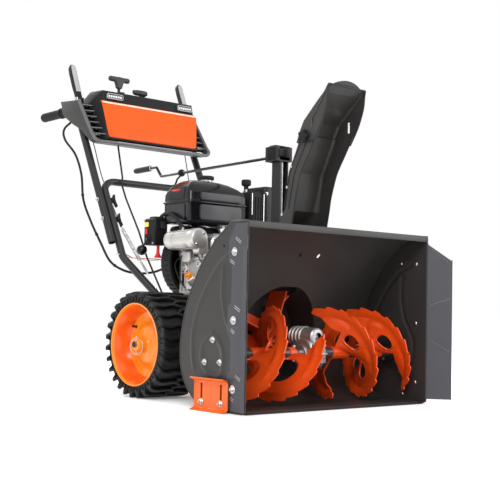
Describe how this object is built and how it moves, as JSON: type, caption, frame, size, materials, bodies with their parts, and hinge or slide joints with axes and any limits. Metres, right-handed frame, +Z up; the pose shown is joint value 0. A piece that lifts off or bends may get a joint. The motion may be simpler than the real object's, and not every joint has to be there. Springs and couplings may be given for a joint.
{
  "type": "two stage snowblower",
  "caption": "Walk-behind two stage snowblower: open intake with serrated augers, geared rotating chute with tilting hood, engine, lugged wheels, bent handles and a lit control console.",
  "frame": {"origin": "on the ground, under the middle of the bounding box", "axes": "+Z up, -Y toward the snow (the intake faces -Y), +Y toward the operator, +X to the operator's left"},
  "size_m": [0.8346, 1.4082, 1.1406],
  "materials": {
    "charcoal_steel": "semi-gloss powder coat",
    "wing_steel": "semi-gloss powder coat",
    "black_steel": "satin paint",
    "black_tube": "satin powder coat",
    "orange_steel": "satin paint",
    "orange_gloss": "gloss paint",
    "orange_plastic": "satin moulding",
    "black_plastic": "fine grain moulding",
    "gloss_black": "gloss",
    "red_plastic": "gloss",
    "rubber_black": "matt",
    "tyre_black": "matt",
    "bare_steel": "machined",
    "zinc_steel": "zinc plated",
    "cast_iron": "painted casting",
    "engine_alloy": "die cast",
    "lamp_lens": "ribbed lens"
  },
  "bodies": {
    "machine": {"housing_barrel": "charcoal_steel", "side_plates": "charcoal_steel", "impeller_housing": "charcoal_steel", "scraper_bar": "black_steel", "skid_shoes": "orange_steel", "wings": "wing_steel", "housing_bolts": "zinc_steel", "auger_gearbox": "engine_alloy", "bearings": "cast_iron", "drive_belt": "rubber_black", "frame_case": "orange_steel", "gear_post": "black_steel", "rod_guide": "black_steel", "lower_handle": "black_tube", "upper_handles": "black_tube", "handle_grips": "rubber_black", "handle_knobs": "black_plastic", "console_shell": "black_plastic", "console_bezel": "black_plastic", "console_panel": "orange_plastic", "headlights": "lamp_lens", "lever_pivots": "zinc_steel", "shift_rod": "zinc_steel", "control_cables": "zinc_steel", "wire_harness": "black_plastic", "crankcase": "engine_alloy", "cylinder_head": "engine_alloy", "fan_housing": "black_steel", "fuel_tank": "gloss_black", "starter_motor": "engine_alloy", "control_box": "black_plastic", "carb_cover": "black_plastic", "muffler": "black_steel", "belt_cover": "black_plastic"},
    "auger": {"auger_shaft": "bare_steel", "auger_flights": "orange_steel"},
    "impeller": {"impeller": "orange_steel", "impeller_shaft": "bare_steel", "impeller_pulley": "bare_steel"},
    "crankshaft": {"engine_pulley": "bare_steel"},
    "wheels": {"drive_axle": "bare_steel", "rims": "orange_gloss", "tyres": "tyre_black"},
    "chute": {"chute_ring": "black_plastic", "chute_lower": "charcoal_steel"},
    "hood": {"chute_hood": "charcoal_steel"},
    "hood_knobs": {"hood_knobs": "black_plastic"},
    "pinion": {"chute_pinion": "bare_steel"},
    "crank": {"crank_rod": "zinc_steel"},
    "crank_grip": {"crank_grip": "rubber_black"},
    "lever_right": {"lever_right": "black_plastic"},
    "lever_left": {"lever_left": "black_plastic"},
    "shift_lever": {"shift_lever": "black_plastic"},
    "tilt_lever": {"tilt_lever": "black_plastic"},
    "throttle_lever": {"throttle_lever": "black_plastic"},
    "choke_pull": {"choke_pull": "red_plastic"},
    "stop_switch": {"stop_switch": "red_plastic"},
    "fuel_cap": {"fuel_cap": "black_plastic"},
    "oil_cap": {"oil_cap": "orange_plastic"},
    "recoil_handle": {"recoil_handle": "black_plastic"}
  },
  "joints": [
    {"name": "impeller_spin", "type": "hinge", "parent": "machine", "child": "impeller", "pos_m": [0, -0.316, 0.2], "axis": [0, 1, 0], "continuous": true},
    {"name": "auger_spin", "type": "hinge", "parent": "machine", "child": "auger", "pos_m": [0, -0.506, 0.152], "axis": [1, 0, 0], "continuous": true},
    {"name": "engine_spin", "type": "hinge", "parent": "machine", "child": "crankshaft", "pos_m": [-0.03, -0.224, 0.425], "axis": [0, 1, 0], "continuous": true},
    {"name": "wheel_spin", "type": "hinge", "parent": "machine", "child": "wheels", "pos_m": [0, -0.0824, 0.1624], "axis": [1, 0, 0], "continuous": true},
    {"name": "chute_turn", "type": "hinge", "parent": "machine", "child": "chute", "pos_m": [0.015, -0.441, 0.488], "axis": [0, 0, 1], "range_deg": [-96, 96]},
    {"name": "pinion_spin", "type": "hinge", "parent": "machine", "child": "pinion", "pos_m": [0.0278, -0.33678, 0.488], "axis": [0, 0, 1], "range_deg": [-576, 576]},
    {"name": "crank_turn", "type": "hinge", "parent": "machine", "child": "crank", "pos_m": [0.0093, -0.321, 0.7505], "axis": [0.1439, 0.9894, 0.0195], "range_deg": [-576, 576]},
    {"name": "crank_grip_spin", "type": "hinge", "parent": "crank", "child": "crank_grip", "pos_m": [0.13378, 0.53483, 0.80533], "axis": [0.1439, 0.9894, 0.0195], "continuous": true},
    {"name": "hood_tilt", "type": "hinge", "parent": "chute", "child": "hood", "pos_m": [0.015, -0.539, 0.782], "axis": [1, 0, 0], "range_deg": [0, 40]},
    {"name": "hood_knobs_turn", "type": "hinge", "parent": "hood", "child": "hood_knobs", "pos_m": [0.015, -0.539, 0.782], "axis": [1, 0, 0], "range_deg": [0, 180]},
    {"name": "tilt_lever_swing", "type": "hinge", "parent": "machine", "child": "tilt_lever", "pos_m": [-0.014, 0.4, 0.985], "axis": [1, 0, 0], "range_deg": [0, 16]},
    {"name": "shift_lever_swing", "type": "hinge", "parent": "machine", "child": "shift_lever", "pos_m": [-0.105, 0.4, 0.985], "axis": [1, 0, 0], "range_deg": [-15, 15]},
    {"name": "lever_right_squeeze", "type": "hinge", "parent": "machine", "child": "lever_right", "pos_m": [-0.236, 0.45, 1.003], "axis": [-1, 0, 0], "range_deg": [0, 60], "stiffness_Nm_per_rad": 1.5, "springref_deg": -34.38},
    {"name": "lever_left_squeeze", "type": "hinge", "parent": "machine", "child": "lever_left", "pos_m": [0.236, 0.45, 1.003], "axis": [-1, 0, 0], "range_deg": [0, 60], "stiffness_Nm_per_rad": 1.5, "springref_deg": -34.38},
    {"name": "throttle_swing", "type": "hinge", "parent": "machine", "child": "throttle_lever", "pos_m": [-0.177, 0.089, 0.5], "axis": [1, 0, 0], "range_deg": [-20, 20]},
    {"name": "choke_slide", "type": "slide", "parent": "machine", "child": "choke_pull", "axis": [0, 0, -1], "range_m": [0, 0.015]},
    {"name": "stop_switch_push", "type": "slide", "parent": "machine", "child": "stop_switch", "axis": [1, 0, 0], "range_m": [0, 0.003], "stiffness_N_per_m": 400, "springref_m": -0.002},
    {"name": "fuel_cap_turn", "type": "hinge", "parent": "machine", "child": "fuel_cap", "pos_m": [-0.028, -0.028, 0.7], "axis": [0, 0, 1], "range_deg": [0, 90]},
    {"name": "oil_cap_turn", "type": "hinge", "parent": "machine", "child": "oil_cap", "pos_m": [-0.134, -0.09, 0.376], "axis": [-0.7071, 0, 0.7071], "range_deg": [0, 720]},
    {"name": "recoil_pull", "type": "slide", "parent": "machine", "child": "recoil_handle", "axis": [0, 1, 0], "range_m": [0, 0.3], "stiffness_N_per_m": 40, "springref_m": -0.2}
  ],
  "couplings": [
    {"joint": "auger_spin", "follows": "impeller_spin", "ratio": 0.1},
    {"joint": "pinion_spin", "follows": "chute_turn", "ratio": -6},
    {"joint": "crank_turn", "follows": "chute_turn", "ratio": -6},
    {"joint": "tilt_lever_swing", "follows": "hood_tilt", "ratio": 0.4}
  ]
}
